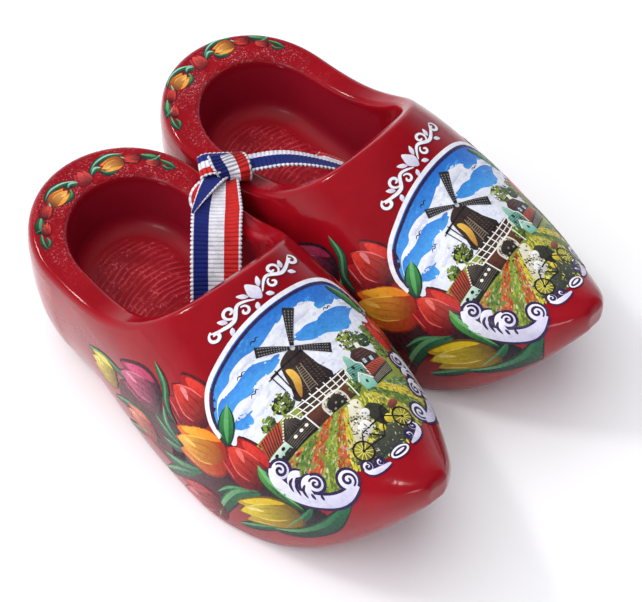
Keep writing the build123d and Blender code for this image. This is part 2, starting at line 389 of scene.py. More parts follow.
class Picture:
    """Flat shapes in one plane, each with its colours and its layer, laid on a clog as one mesh."""

    def __init__(self, place):
        """Shapes go through place, which may mirror or turn them, before they are drawn."""
        self.place = place
        self.points = []
        self.layers = []
        self.colours = []
        self.faces = []

    def add(self, points, faces, layer, colour, other, toward):
        """Colour runs from the first to the other along the direction toward."""
        base = len(self.points)
        reach = [x * toward[0] + y * toward[1] for x, y in points]
        low, span = min(reach), max(max(reach) - min(reach), 1e-6)
        first, second = ink(colour), ink(other or colour)
        self.points += points
        self.layers += [layer] * len(points)
        self.colours += [mixed(first, second, (way - low) / span) for way in reach]
        self.faces += [[base + corner for corner in face] for face in faces]

    def placed(self, points, shift):
        return [(x + shift[0], y + shift[1]) for x, y in self.place(points)]

    def fill(self, outline, layer, colour, other=None, toward=(0, 1), shift=(0, 0), step=1.0):
        """A filled outline, divided finely enough to follow the clog's curves."""
        outline = self.placed(outline, shift)
        rim = divided(outline + outline[:1], step)[:-1]
        columns, rows = (range(int(min(axis) / step), int(max(axis) / step) + 1) for axis in zip(*rim))
        grid = [((column + 0.5 * (row % 2)) * step, row * step) for row in rows for column in columns]
        grid = [point for point in grid if inside(point, outline)]
        edges = [(k, (k + 1) % len(rim)) for k in range(len(rim))]
        points, _, faces, *_ = delaunay_2d_cdt([Vector(p) for p in rim + grid], edges, [], 1, 1e-5)
        self.add([tuple(p) for p in points], faces, layer, colour, other, toward)

    def stroke(self, path, width, layer, colour, taper=0.0, other=None, toward=(0, 1), shift=(0, 0)):
        """A brush stroke along a line; taper thins its two ends."""
        path, points = divided(self.placed(path, shift), 1.0), []
        last = len(path) - 1
        lanes = 1 + int(width / 0.9)
        for place, (x, y) in enumerate(path):
            ahead, behind = path[min(place + 1, last)], path[max(place - 1, 0)]
            run = hypot(ahead[0] - behind[0], ahead[1] - behind[1]) or 1.0
            nx, ny = -(ahead[1] - behind[1]) / run, (ahead[0] - behind[0]) / run
            thin = 1 - taper * abs(2 * place / last - 1) ** 2
            for lane in range(lanes + 1):
                aside = width * thin * (lane / lanes - 0.5)
                points.append((x + nx * aside, y + ny * aside))
        faces = []
        for place in range(last):
            for lane in range(lanes):
                first = place * (lanes + 1) + lane
                faces.append((first, first + lanes + 1, first + lanes + 2, first + 1))
        self.add(points, faces, layer, colour, other, toward)

    def lay(self, name, skin, project, move, stands_for):
        """Make the mesh: move places the picture on the clog, project wraps it on."""
        corners = [project(*move(*point), FILM + LAYER * layer)
                   for point, layer in zip(self.points, self.layers)]
        made = inked_mesh(name, corners, self.faces, self.colours, PRINT)
        face_outwards(made, skin)
        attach(made, f"{skin.side}_shoe")
        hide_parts(stands_for)


def face_outwards(made, skin):
    """Turn every face so that its front looks away from the wood."""
    centre = skin.row(0, 0, CORE)
    axis = (centre - skin.row(0, 1, CORE)).normalized()
    for face in made.data.polygons:
        outward = Vector((0, 0, 1))
        if "garland" not in made.name:
            outward = face.center - centre
            outward = outward - axis * outward.dot(axis)
        if face.normal.dot(outward) < 0:
            face.flip()


# ---- the printed pictures -----------------------------------------------------------------------
# Every place is (u, v) in millimetres on the right clog: u = 0 on its crest, v = -55 at its toe.

TILT = radians(4.7)        # the transfer sits a little askew
MIDDLE = (-0.9, -30)
WHITE, LILAC, PURPLE = "f4f2fb", "cfcbe6", "2b1a4a"
SKY_DEEP, SKY_PALE = "1566cc", "46a2ea"
BLACK, BRICK, TRIM, RAIL = "171412", "8c3a22", "f1efe4", "f2f0ea"
LEAF_DARK, LEAF, LEAF_PALE, LEAF_BLUE = "0f2e28", "226a42", "76b078", "9ed8c0"
REDS = ("4a040d", "b40f14", "e2361f")
GARLAND_REDS = ("4a040d", "b81820", "dc4434", "e2361f")


def flip(points):
    """Mirror points across the picture's own middle line."""
    nx, ny = cos(TILT), sin(TILT)
    result = []
    for x, y in points:
        reach = (x - MIDDLE[0]) * nx + (y - MIDDLE[1]) * ny
        result.append((x - 2 * reach * nx, y - 2 * reach * ny))
    return result


def across_crest(points):
    """Mirror points straight across the crest, clear of the foot opening."""
    return [(0.5 - x, y) for x, y in points]


def across_heel(points):
    return [(-x, y) for x, y in points]


CUP = [(0, -0.02), (-0.34, 0.05), (-0.5, 0.32), (-0.46, 0.62), (-0.27, 0.98), (-0.12, 0.86), (0.02, 1.02),
    (0.17, 0.86), (0.32, 0.95), (0.48, 0.6), (0.5, 0.3), (0.32, 0.04)]
PETAL = [(0.05, 0), (-0.2, 0.22), (-0.24, 0.55), (-0.05, 0.9), (0.05, 0.97), (0.2, 0.82), (0.3, 0.5),
    (0.26, 0.18)]
SIDE_PETAL = [(0.36, 0.1), (0.3, 0.4), (0.26, 0.66), (0.34, 0.86), (0.46, 0.6), (0.49, 0.32)]


def tulip(art, base, tip, width, dark, body, light, glow=WHITE):
    """A tulip's cup: a dark outline, a shaded cup, its front petals and a few lit edges."""
    toward = (tip[0] - base[0], tip[1] - base[1])
    if art.place is not same:
        toward = (-toward[0], toward[1])
    halo = [(side, up * 1.06 - 0.03) for side, up in CUP]
    for shape, wide, layer, low, high in (
            (halo, width * 1.1, 1, mixed(dark, BLACK, 0.35), dark),
            (CUP, width, 2, dark, body),
            (PETAL, width, 3, mixed(dark, BLACK, 0.2), light),
            (SIDE_PETAL, width, 3, body, light)):
        art.fill(curve(along(base, tip, wide, shape), True, 3), layer, low, high, toward)
    edge, vein = mixed(light, glow, 0.14), mixed(dark, body, 0.4)
    strokes = [([(-0.2, 0.25), (-0.24, 0.55), (-0.05, 0.93)], 0.035, edge, 0.8, 5),
               ([(0.31, 0.35), (0.25, 0.66), (0.1, 0.94)], 0.03, edge, 0.8, 5),
               ([(-0.42, 0.55), (-0.27, 0.93)], 0.03, edge, 0.8, 5),
               ([(0.05, 0.55), (0.12, 0.72), (0.12, 0.85)], 0.11, mixed(light, glow, 0.22), 1, 5)]
    for side in (-0.1, 0, 0.12):
        strokes.append(([(side * 0.8, 0.12), (side * 1.4, 0.4), (side, 0.7)], 0.02, vein, 1, 4))
    for shape, size, colour, taper, steps in strokes:
        art.stroke(curve(along(base, tip, width, shape), steps=steps), size * width, 4, colour, taper)


def leaf(art, points, width, light=LEAF_PALE, body=LEAF, layer=0):
    """A pointed leaf with a lit rib."""
    path = curve(points, steps=7)
    art.stroke(path, width * 1.25, layer, mixed(LEAF_DARK, BLACK, 0.4), 0.96)
    art.stroke(path, width, layer + 1, LEAF_DARK, 0.98, body, (1, 0.4))
    art.stroke(path, width * 0.34, layer + 2, body, 1, light, (0.3, 1), (0.18 * width, 0.12 * width))


def tulips(art):
    """The tulips and leaves on one flank; on the inner flank the high ones keep clear of the opening."""
    low = art.place
    outer = low is same
    high = same if outer else across_crest
    fading = (-1 if outer else 1, 0.25)
    art.fill(curve([(-24, -41), (-31, -38), (-36, -31), (-33, -22), (-39, -15), (-37, -6), (-30, -4),
        (-26, -8), (-22, -14), (-21, -20), (-23, -28), (-24.5, -34)], True, 3), 0, "0c1212", "561420", fading)
    art.place = high
    art.fill(curve([(-37, -8), (-38, 4), (-35, 12), (-28, 12), (-25, 4), (-25, -6), (-29, -10)], True, 3),
        0, "1c1216", "6a1420", fading)
    for place, width, *points in (
            (low, 3, (-41.5, -18.4), (-36, -20.2), (-30.5, -23.5), (-27, -28.5)),
            (low, 1.7, (-33.5, -18.8), (-30, -22), (-27.5, -27)),
            (low, 2, (-39.8, -23.4), (-38, -27.5), (-35.2, -33)),
            (low, 3.6, (-36.8, -31.5), (-34, -37), (-28, -41.5), (-17.5, -44.6)),
            (low, 1.6, (-24, -38.5), (-28, -37.2), (-34, -34)),
            (high, 2.3, (-42, -1.5), (-38, -6.2), (-33.5, -12.5)),
            (high, 3, (-36.8, -2.2), (-34.8, -8.5), (-31, -14.5)),
            (high, 1.7, (-32, -2.4), (-31.2, -6), (-29.5, -9.5)),
            (high, 2.2, (-27.6, -0.2), (-29.3, -4.5), (-29.4, -9)),
            (high, 2.2, (-23.8, -3.2), (-27, -4.2), (-29, -8.5)),
            (high, 2, (-36.5, 15.5), (-33.3, 9.5), (-30.6, 1.5)),
            (high, 2, (-28, 23), (-26.2, 16.5), (-26, 8)),
            (high, 1.8, (-41, 12), (-38, 6), (-34, -1))):
        art.place = place
        leaf(art, points, width)
    for place, *cup in (
            (low, (-37.5, -19.5), (-41.5, -8), 8, "640e18", "a01a26", "cf4a48"),
            (high, (-34, 0.5), (-35.6, 10.5), 6.5, "7c2430", "c8483a", "f0906a"),
            (high, (-29.8, 13.4), (-29.6, 21.6), 7.5, "7a5a10", "e6c414", "f6e25a"),
            (high, (-23.3, -1.6), (-25.4, 11.2), 8.6, "280619", "9e1444", "d8507c"),
            (high, (-20.2, -13.7), (-18.7, -4), 8.2, *REDS),
            (high, (-24.3, -20), (-27.6, -7.4), 8.8, "a01a08", "ee7e0c", "f6b82c", "fff0a0"),
            (low, (-24.2, -28.6), (-22, -19.4), 9.2, *REDS, "ffd0c0"),
            (low, (-28, -36.2), (-35.4, -24), 8, "6e5210", "d0a80c", "ecd01c")):
        art.place = place
        tulip(art, *cup)
    art.place = high
    leaf(art, [(-24.8, -7.2), (-23, -4), (-19.6, -2.2), (-17.5, 1.6)], 1.7, layer=3)
    art.place = low
    if outer:
        leaf(art, [(-21.6, -19.6), (-19, -17.6), (-16, -15.5)], 2.7, body="2f9a3f", layer=3)
    else:
        leaf(art, [(-20.8, -18.6), (-19.6, -14.6), (-16.8, -11.4)], 1.8, body="2f9a3f", layer=3)
    leaf(art, [(-21.9, -26.4), (-23.6, -30), (-25.8, -37.5)], 2.5, body="4fa83f", layer=3)


def sky_panel(art):
    """The arched panel's sky, with its clouds and a few birds."""
    arch = curve([(-20.4, -16.5), (-18.5, -13.2), (-15, -10.8), (-10, -9.5), (-5, -8.6), (0, -8), (5, -7.7),
        (10, -7.6), (13.5, -8.4), (16, -10.6), (18.6, -14.5)], steps=4)
    art.fill(arch + [(20.5, -20), (20.5, -32), (-21, -32), (-21.5, -24)], 0, "dfe6f6", "f3f5fc")
    blue = [arch + curve([(17, -12.4), (14.6, -12.6), (12.6, -11.6), (10.8, -12.7), (8.5, -11.8),
        (6.8, -10.6), (4, -10.4), (0.5, -10.7), (-2.5, -11.8), (-5.5, -12.6), (-8.5, -12), (-11.5, -12.3),
        (-13, -13.2), (-16, -13.4), (-18.8, -15.6)], steps=4)]
    art.fill(blue[0], 1, SKY_PALE, SKY_DEEP, (0.1, 1))
    for patch in (
            [(-19.2, -16.5), (-16.5, -14), (-13, -14.5), (-9, -14), (-6, -15.2), (-4.2, -16.6), (-7, -17.4),
             (-9.5, -16.9), (-12, -17.7), (-14.5, -16.9), (-17.5, -17.2)],
            [(0.6, -15.5), (3.5, -14.2), (6.5, -14.4), (9, -13.6), (12, -13.4), (14.6, -14.2), (13, -16),
             (12.5, -17.6), (9.5, -18.3), (6.5, -17.3), (3.5, -17.2)],
            [(-18.3, -18.9), (-16.4, -18.4), (-14.9, -19.4), (-15.4, -21.4), (-17.3, -20.9)],
            [(7.5, -11.6), (9.2, -11.2), (9.6, -12.4), (8, -12.7)]):
        blue.append(curve(patch, True, 4))
        art.fill(blue[-1], 1, SKY_PALE, mixed(SKY_DEEP, SKY_PALE, 0.35))
    for x, y, wide, tall in (
            (-9, -12.9, 3.2, 0.6), (3, -12.2, 3.6, 0.7), (-14, -18.4, 3, 0.7), (10.5, -19.3, 3.4, 0.6),
            (-11, -21, 3.4, 0.7), (14.2, -12.8, 1.6, 0.5)):
        art.fill(oval(x, y, wide, tall, 0.1, 16), 1, "c3cde9", WHITE)
    chance = random.Random(11)
    for _ in range(260):
        x, y = chance.uniform(-18, 17), chance.uniform(-24, -9.8)
        pair = (SKY_PALE, SKY_DEEP) if any(inside((x, y), patch) for patch in blue) else (WHITE, "b9c9ea")
        tone = mixed(*pair, chance.uniform(0, 0.6))
        wide, tall = chance.uniform(0.5, 1.5), chance.uniform(0.16, 0.4)
        art.fill(oval(x, y, wide, tall, chance.uniform(-0.2, 0.5), 8), 1, tone)
    for x, y in ((-10.8, -14), (-11.6, -18), (9.5, -13.1), (-5.2, -11.2)):
        wings = [(x - 1, y - 0.25), (x - 0.5, y + 0.2), (x, y - 0.1), (x + 0.5, y + 0.25), (x + 1, y)]
        art.stroke(curve(wings, steps=3), 0.22, 2, BLACK, 0.7)


def bush(art, x, y, size, dark, light, seed, layer=1):
    """A tree's crown as a heap of leafy dabs, lit from the left."""
    chance = random.Random(seed)
    art.fill(oval(x, y, size, size * 0.9, 0, 16), layer, dark)
    for _ in range(int(26 * size)):
        angle, reach = chance.uniform(0, 2 * pi), size * chance.uniform(0.2, 1.05)
        px, py = x + reach * cos(angle), y + reach * sin(angle) * 0.95
        lit = within(0.5 + (y - py) * -0.25 / size + (x - px) * 0.35 / size)
        shade = mixed(dark, light, lit * chance.uniform(0.5, 1))
        art.fill(oval(px, py, 0.34, 0.22, chance.uniform(0, pi)), layer + 1, shade)


def land(art):
    """The tulip fields, the trees and the path in front of the mill."""
    chance = random.Random(7)
    ground = curve([(-21.5, -24.5), (-10, -25.2), (5, -25.6), (20.5, -24), (20.6, -31), (18, -37),
        (12.5, -41.5), (6, -43.6), (0, -44.3), (-6, -43.8), (-11, -41.8), (-17, -41.5), (-21, -36),
        (-22.3, -30)], True, 3)
    art.fill(ground, 1, "46602a", "9aa83a")
    vanish = (1.5, -27.5)
    rows = ((-33, -33.5, "c23a1e"), (-30, -36, "557a2c"), (-27, -39, "c9401e"), (-23.5, -42, "86a02e"),
            (-20, -45, "c8501f"), (-15.5, -46, "d8c832"), (-11, -46, "b8b83a"), (-6.5, -46, "e3d649"),
            (13, -46, "c9bd38"), (18, -44, "4f7a2f"), (22.5, -42, "e0c63a"), (25, -38.5, "3f7a45"),
            (28, -35.5, "8c3038"), (30, -33, "5a2a34"))
    for (ax, ay, crop), (bx, by, _) in zip(rows, rows[1:]):
        slope = atan2(ay - vanish[1], ax - vanish[0])
        for _ in range(230):
            far = chance.uniform(0.12, 1) ** 0.7
            share = chance.random()
            x = vanish[0] + (ax + (bx - ax) * share - vanish[0]) * far
            y = vanish[1] + (ay + (by - ay) * share - vanish[1]) * far
            if inside((x, y), ground) and y <= -31.2:
                fleck = chance.choice((BLACK, "e8d43a", "f6f0d0", LEAF_DARK, crop))
                tint = mixed(crop, fleck, chance.uniform(0, 0.5))
                art.fill(oval(x, y, chance.uniform(0.3, 0.7), chance.uniform(0.14, 0.28), slope), 2, tint)
    art.fill(curve([(-9.5, -41.2), (-4, -40.2), (3, -38.6), (10, -39.6), (8.5, -42.2), (4, -43.4),
        (-4, -43.6)], True, 4), 3, "2f3630", "4a4f3c")
    path = curve([(-0.4, -31.2), (1.8, -31.6), (1.2, -33.4), (-0.5, -35.4), (-2.6, -38.5), (-6, -39.5),
        (-5, -36.5), (-2.6, -33.5)], True, 4)
    art.fill(path, 3, "cfc9b0", "efe9cf")
    for _ in range(120):
        x, y = chance.uniform(-6.5, 3), chance.uniform(-40, -30.5)
        if inside((x, y), path):
            shade = chance.choice(("fffdf0", "8a8a6a", "d8c84a", "55603a"))
            art.fill(oval(x, y, 0.34, 0.17, chance.uniform(0, 3)), 4, shade)
    bush(art, -14.4, -23.9, 1.5, "1d3518", "a8c83a", 1)
    bush(art, -9.8, -23.2, 2.3, "172a14", "b4cc3c", 2)
    bush(art, 9.4, -20.6, 2.5, "1d3a18", "c8d444", 3)
    bush(art, 12.2, -21.4, 1.9, "10240f", "4f7a2c", 4)
    for x, y, tall in ((14.6, -22.2, 6), (16.6, -25.2, 6.4)):
        for step in range(5):
            up = tall * (0.5 - step / 4)
            bush(art, x + 0.15 * step, y + up, 1 + 0.12 * step, "16301a", "a4c040", 20 + step)
    bush(art, 3.2, -29.2, 1.5, "22401c", "a8c43c", 5, 4)


def planks(art, corners, count, width, layer, colour):
    """Thin lines over a four-cornered wall or roof, from its first edge to its third."""
    a, b, c, d = corners
    for place in range(1, count):
        share = place / count
        ends = [(p[0] + (q[0] - p[0]) * share, p[1] + (q[1] - p[1]) * share) for p, q in ((a, b), (d, c))]
        art.stroke(ends, width, layer, colour)


def houses(art):
    """The farm buildings on both sides of the mill."""
    art.fill([(-19.6, -27.6), (-18, -24.6), (-12.6, -25), (-14.9, -28.2)], 3, BRICK, "c4482a")
    planks(art, [(-19.6, -27.6), (-14.9, -28.2), (-12.6, -25), (-18, -24.6)], 9, 0.2, 4, "3c120a")
    art.fill([(-19.8, -27.8), (-14.9, -28.2), (-14.9, -30.2), (-19.2, -29.4)], 3, "8fb8a0", "d4e6da")
    art.fill([(-19.4, -29.3), (-9, -30), (-9, -31.3), (-18.8, -30.8)], 3, BLACK, "2c2a22")
    art.fill([(-14.9, -28.1), (-11.9, -25.2), (-8.6, -28), (-8.6, -31), (-14.9, -31)], 4, BLACK, "33302a")
    planks(art, [(-14.7, -28.3), (-14.7, -31), (-8.7, -31), (-8.7, -28.2)], 7, 0.13, 5, "6a6152")
    planks(art, [(-14.4, -28), (-8.9, -28), (-11.7, -25.6), (-12.1, -25.6)], 9, 0.11, 5, "5a5044")
    for side in (-1, 1):
        for dash in range(8):
            x, y = -11.9 + side * (0.15 + dash * 0.42), -25.3 - dash * 0.38
            art.fill(oval(x, y, 0.2, 0.14), 5, TRIM)
    for x, y, colour in ((-18, -28.6, BLACK), (-16.2, -28.8, BLACK), (-13, -29.2, TRIM), (-11.4, -29.2, TRIM),
                         (-10, -29.2, TRIM)):
        art.fill(oval(x, y, 0.42, 0.34, 0, 8), 5, colour)
    art.fill([(7, -24), (8.4, -22.7), (11.2, -22.9), (13.3, -25), (13.3, -27), (8, -27)],
        3, "241816", "4a2c26")
    art.fill([(9.8, -21.6), (10.8, -21.6), (10.9, -22.8), (9.7, -22.8)], 4, TRIM)
    art.stroke([(10.9, -22.7), (13.2, -24.9)], 0.3, 4, TRIM)
    for x in (9.4, 11.2):
        art.fill([(x - 0.4, -25.3), (x + 0.4, -25.2), (x + 0.4, -26.2), (x - 0.4, -26.3)], 4, "b4ccd8")
    art.fill([(6, -27.4), (13.4, -26), (14.4, -27), (8.2, -29.4)], 4, BRICK, "c8553a")
    art.fill([(8.2, -29.3), (14.2, -27.1), (14.2, -29.6), (8.2, -31.2)], 4, "1c1a18", "3a3430")
    planks(art, [(6.4, -27.5), (13.2, -26.2), (14.2, -27), (8.2, -29.2)], 9, 0.16, 5, "5a1a10")
    planks(art, [(8.4, -29.6), (8.4, -31), (14, -29.5), (14, -27.5)], 6, 0.14, 5, "8a8272")
    planks(art, [(8, -26.8), (8.4, -23), (11, -23), (13.2, -25.2)], 5, 0.12, 4, "6a4a3e")
    gable = [(3.6, -28.8), (3.8, -26), (4.9, -25.2), (5.2, -23.8), (5.7, -22.9), (6.4, -22.9), (6.9, -23.8),
        (7.3, -25.2), (8.3, -25.9), (8.3, -28.8)]
    art.fill(gable, 4, "3f8a78", "9fd4c4")
    planks(art, [(3.7, -28.6), (4.6, -25.2), (7.5, -25.2), (8.2, -28.6)], 7, 0.13, 5, "1f5a4c")
    art.stroke(gable, 0.28, 5, TRIM)
    art.fill([(5, -28.9), (6.2, -27.4), (8.2, -29.5), (8.2, -31.4), (5.2, -31.1)], 5, "6fb8a4", "b8e0d2")
    art.stroke([(4.8, -29.1), (6.2, -27.3), (8.4, -29.6)], 0.32, 6, TRIM)
    for x, y, size in ((6, -26, 0.5), (6.6, -29.6, 0.42), (5, -27.2, 0.35), (7.2, -27.2, 0.35)):
        art.fill(oval(x, y, size * 0.7, size, 0, 8), 6, "14302c")


def windmill(art):
    """The windmill on its stage, in front of everything."""
    body = curve([(-5.3, -18.1), (-4.2, -16.9), (-1.8, -16.2), (0.2, -16.9), (0.25, -18.1), (0.8, -21.4),
        (1.5, -25.3), (-7.4, -25.2), (-6.6, -22)], True, 3)
    art.fill(body, 3, "3a2c24", BLACK, (0.5, -1))
    lit = curve([(-5, -18.9), (-3.9, -19.5), (-3.9, -21.4), (-4.9, -23.2), (-6.6, -24.8), (-6.3, -23.2),
        (-5.4, -21.2)], True, 3)
    art.fill(lit, 4, "a86a1e", "f0c04a", (0.2, 1))
    for row in range(9):
        for column in range(7):
            x, y = -4.4 + column * 0.82 - row * 0.05, -19.6 - row * 0.62
            if inside((x, y), body) and not inside((x, y), lit):
                art.fill(oval(x, y, 0.26, 0.12, -0.5), 4, "5a4a3e")
    planks(art, [(-2.9, -19.6), (-4.4, -25), (-2.6, -25), (-1.9, -19.6)], 11, 0.14, 5, "8a7a68")
    for ends, width, colour in (
            ([(-2.9, -19.4), (-4.5, -25)], 0.16, "a08c74"),
            ([(-1.9, -19.4), (-2.5, -25)], 0.16, "a08c74"),
            ([(-7.9, -18.2), (0.1, -17.6)], 0.34, BLACK),
            ([(-6.4, -17.6), (-6.7, -24.2)], 0.26, BLACK),
            ([(-7.7, -18), (-7.7, -21.8)], 0.22, BLACK),
            ([(-8.5, -18.4), (-6.2, -18.3)], 0.22, BLACK)):
        art.stroke(ends, width, 5, colour)
    hub = (-1, -16.3)
    for tip, width in (((2.9, -10), 2.2), ((-6.6, -12.9), 2), ((5.3, -20.3), 2.2)):
        sail = along(hub, tip, width, [(-0.18, 0.06), (-0.5, 1), (0.5, 1), (0.16, 0.06)])
        art.fill(sail, 5, BLACK, "2a2622")
        slope = atan2(tip[1] - hub[1], tip[0] - hub[0])
        for row in range(12):
            up = 0.16 + row * 0.068
            half = 0.17 + 0.33 * up
            for pane in along(hub, tip, width, [(side * half, up) for side in (-0.62, 0, 0.62)]):
                art.fill(oval(*pane, 0.15 * (0.6 + up * 0.6), 0.11, slope), 6, "8e8f92")
    art.fill(oval(*hub, 0.5, 0.5, 0, 16), 7, "cfd3da", "7d7f86")
    art.fill([(-9, -27.6), (2.8, -27.4), (2.4, -30.8), (-8.8, -31.2)], 3, "3a1f14", "6d3a22")
    door = curve([(-4.9, -31), (-4.9, -29), (-3, -27.9), (-0.6, -28), (0.2, -29.4), (0, -31)], steps=4)
    art.stroke(door, 0.9, 4, "d9d4c4")
    art.fill(door, 4, "15110d", "3a3328")
    for x, y in ((-4.6, -30.4), (-4.6, -29.2), (-3.4, -28.3), (-1.8, -28), (-0.4, -28.6), (0.1, -29.9),
                 (-2.4, -29.7), (-1.2, -30.3), (-3.4, -30.6)):
        art.fill(oval(x, y, 0.34, 0.24, 0.3), 5, "8f8a78")
    art.fill([(-8.6, -25.4), (4.4, -25), (3.4, -27.6), (-9, -27.8)], 4, "4a3424", "241812")
    for width, *rail in (
            (0.26, (-10.9, -25.3), (-6, -25.8), (0, -25.7), (4.6, -25.1)),
            (0.2, (-10.4, -26.5), (-6, -26.9), (0, -26.8), (4, -26.2)),
            (0.3, (-9.9, -27.7), (-6, -27.9), (0, -27.8), (3.4, -27.3))):
        art.stroke(curve(rail, steps=5), width, 6, RAIL)
    for place in range(9):
        x = -10.6 + place * 1.85
        art.stroke([(x, -25.1), (x * 0.94 + 0.1, -27.8)], 0.24, 6, RAIL)
    for x in (-8.9, 2.6):
        art.stroke([(x, -27.8), (x + 0.1, -31.3)], 0.3, 6, RAIL)


def bicycle(art):
    """A bicycle with flower baskets, leaning on the fence in the foreground."""
    back, front, saddle, head, pedals = (-6, -40.2), (7.8, -39), (-3.2, -37.4), (3.6, -36.9), (0.6, -40.4)
    for x, y in (back, front):
        art.fill(oval(x, y, 2.3, 2.1, 0, 16), 4, "5a5a20", "a8a034")
        for spoke in range(12):
            angle = spoke * pi / 6
            art.stroke([(x, y), (x + 2.1 * cos(angle), y + 1.9 * sin(angle))], 0.15, 5, "f0e468")
        tyre = oval(x, y, 2.3, 2.1, 0, 22)
        art.stroke(tyre + tyre[:1], 0.4, 6, BLACK)
        art.fill(oval(x, y, 0.4, 0.36, 0, 8), 6, BLACK)
    for tube in ([back, saddle, head, front], [saddle, pedals, head], [pedals, back],
                 [head, (4.4, -35.4), (6, -35.2)]):
        art.stroke(tube, 0.3, 6, BLACK)
    art.fill(curve([(1.2, -34.2), (3.2, -33.4), (5.6, -35.4), (5.2, -38.2), (2.6, -38.6), (1.4, -36.6)],
        True, 4), 4, "1c2018", "3a3c2c")
    for x, y, wide, tall, *colours in (
            (-1.6, -37, 2.1, 1.5, "bfbcae", "ffffff"),
            (0.8, -34.6, 1.3, 0.9, "d0cdbf", "ffffff"),
            (4.7, -38, 1.2, 1, "a89018", "f4e040"),
            (8, -35.8, 1.6, 0.8, "5a2a1c", "a85a44"),
            (1.6, -38.8, 0.9, 0.8, "b8a020", "f0dc48")):
        art.fill(oval(x, y, wide, tall, 0.2, 16), 5, *colours)
    chance = random.Random(3)
    for _ in range(170):
        x, y = chance.uniform(-8.5, 10), chance.uniform(-43.2, -36.4)
        shade = chance.choice(("e2d43a", "6f8a3a", "11160f", "2c4a2c", "b8b8a0", "8a8a4a"))
        art.fill(oval(x, y, chance.uniform(0.25, 0.7), 0.15, chance.uniform(0, 3)), 3, shade)
    for _ in range(60):
        x, y = -1.6 + chance.uniform(-2.2, 2.6), -36.4 + chance.uniform(-1.8, 2.2)
        shade = chance.choice((WHITE, "d8d6cc", "7c7c70", "2c2e2a"))
        art.fill(oval(x, y, 0.24, 0.18, chance.uniform(0, 3)), 6, shade)


def curl(art, x, y, radius, start, turns):
    """The rolled end of a scroll."""
    art.fill(oval(x, y, radius + 0.6, radius + 0.6, 0, 20), 4, PURPLE)
    art.fill(oval(x, y, radius, radius, 0, 20), 5, LILAC, WHITE)
    art.stroke(spiral(x, y, radius * 0.8, start, turns, 26, 0.12), 0.6, 6, PURPLE, 0.4)


def scroll(art, points, outer, inner, toward=(0, 1), steps=5):
    """A white stroke on a wider purple one, each as its width and its taper."""
    path = curve(points, steps=steps)
    art.stroke(path, outer[0], 4, PURPLE, outer[1])
    art.stroke(path, inner[0], 5, LILAC, inner[1], WHITE, toward)


def scrolls(art):
    """Half of the carved-looking white scrollwork under the panel."""
    scroll(art, [(-20.4, -28.9), (-22.2, -30.6), (-22.9, -34), (-22, -38), (-19.6, -41.5), (-16.4, -43.3),
        (-13, -43.5)], (4.2, 0.42), (2.9, 0.5), (0.4, 1), 6)
    scroll(art, [(-21.8, -39), (-20.6, -36.6), (-19, -35.6), (-17.6, -36)], (2.8, 0.3), (1.8, 0.3))
    scroll(art, [(-22.2, -35), (-20.8, -33.2), (-19.2, -32.9), (-18.3, -33.9)], (2.5, 0.3), (1.5, 0.3))
    curl(art, -19.9, -30.4, 1.75, 70, -1.35)
    curl(art, -18.2, -37.2, 1.6, 110, -1.3)
    curl(art, -13.3, -41.7, 2, -100, 1.35)
    for points in (
            [(-22.3, -34.4), (-21.2, -33.2), (-19.8, -33.1)],
            [(-22.2, -35.9), (-20.9, -34.4), (-19.3, -34.3)],
            [(-21.9, -37.3), (-20.9, -35.9), (-19.6, -35.7)],
            [(-21.3, -38.6), (-20.6, -37.4)],
            [(-20.4, -40), (-19.6, -39)]):
        art.stroke(curve(points, steps=5), 0.62, 6, PURPLE, 0.8)
    scroll(art, [(-9.3, -42.9), (-8.4, -44.3), (-6.2, -45.1), (-3.6, -45.4)], (2.1, 0.55), (1.3, 0.75))
    curl(art, -8.1, -42.9, 1.05, 60, -1.1)
    curl(art, -5.3, -43.9, 0.75, 60, -1)


def border(art):
    """The panel's white and dark border, and the oval at its foot."""
    arch = curve([(-20.9, -17.6), (-19.4, -14.2), (-15.6, -10.9), (-10, -9.3), (-5, -8.3), (0, -7.7),
        (5, -7.4), (10, -7.3), (13.6, -8), (16.4, -10.4), (19.2, -14.6)])
    art.stroke(arch, 0.55, 4, PURPLE, shift=(0.25, -0.75))
    art.stroke(arch, 0.85, 4, WHITE, shift=(-0.05, 0.1))
    for y, wide, tall, count, layer, colour in (
            (-44.7, 3.1, 1.45, 24, 4, PURPLE),
            (-44.7, 2.75, 1.15, 24, 5, WHITE),
            (-44.7, 2.2, 0.72, 24, 6, PURPLE),
            (-44.65, 1.5, 0.28, 16, 7, WHITE)):
        art.fill(oval(0.3, y, wide, tall, 0.03, count), layer, colour)


def leaning(points):
    """Move the ornament over the panel, leaning like its arch."""
    c, s = cos(radians(13)), sin(radians(13))
    return [(c * x - s * y, -4.5 + s * x + c * y) for x, y in points]


